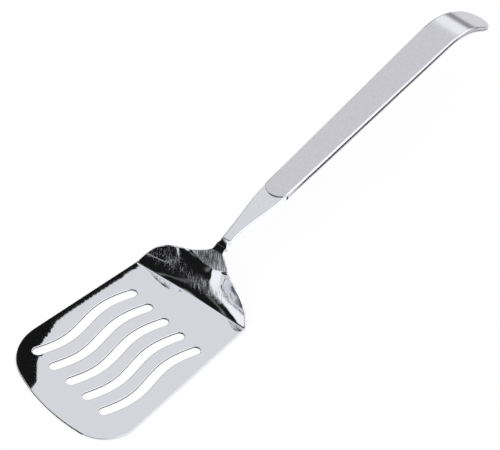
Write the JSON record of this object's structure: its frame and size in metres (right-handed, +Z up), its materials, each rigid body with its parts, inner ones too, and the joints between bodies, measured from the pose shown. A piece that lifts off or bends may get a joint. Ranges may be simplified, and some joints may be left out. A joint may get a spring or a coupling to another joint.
{
  "type": "grill spatula",
  "caption": "Long slotted grill spatula: flat blade with a round front and wavy slots, scooped heel, welded shank and flat grip with a hooked end.",
  "frame": {"origin": "on the underside of the blade, on its centre line, in the plain land behind the slots, 11 mm in front of the fold", "axes": "+X from the blade's front edge towards the handle, +Z up out of the blade's top face, +Y completes a right-handed frame"},
  "size_m": [0.3745, 0.0973, 0.058],
  "materials": {
    "polished_steel": "mirror polished, with a brushed heel",
    "satin_steel": "fine satin, brushed along the grip",
    "ground_weld": "weld ground flush and polished over"
  },
  "bodies": {
    "root": {"blade": "polished_steel", "neck_weld": "ground_weld", "shank": "polished_steel", "tang_spot_welds": "ground_weld", "grip_top_cover": "satin_steel", "grip_bottom_cover": "satin_steel", "grip_seam_weld": "satin_steel"}
  },
  "joints": []
}
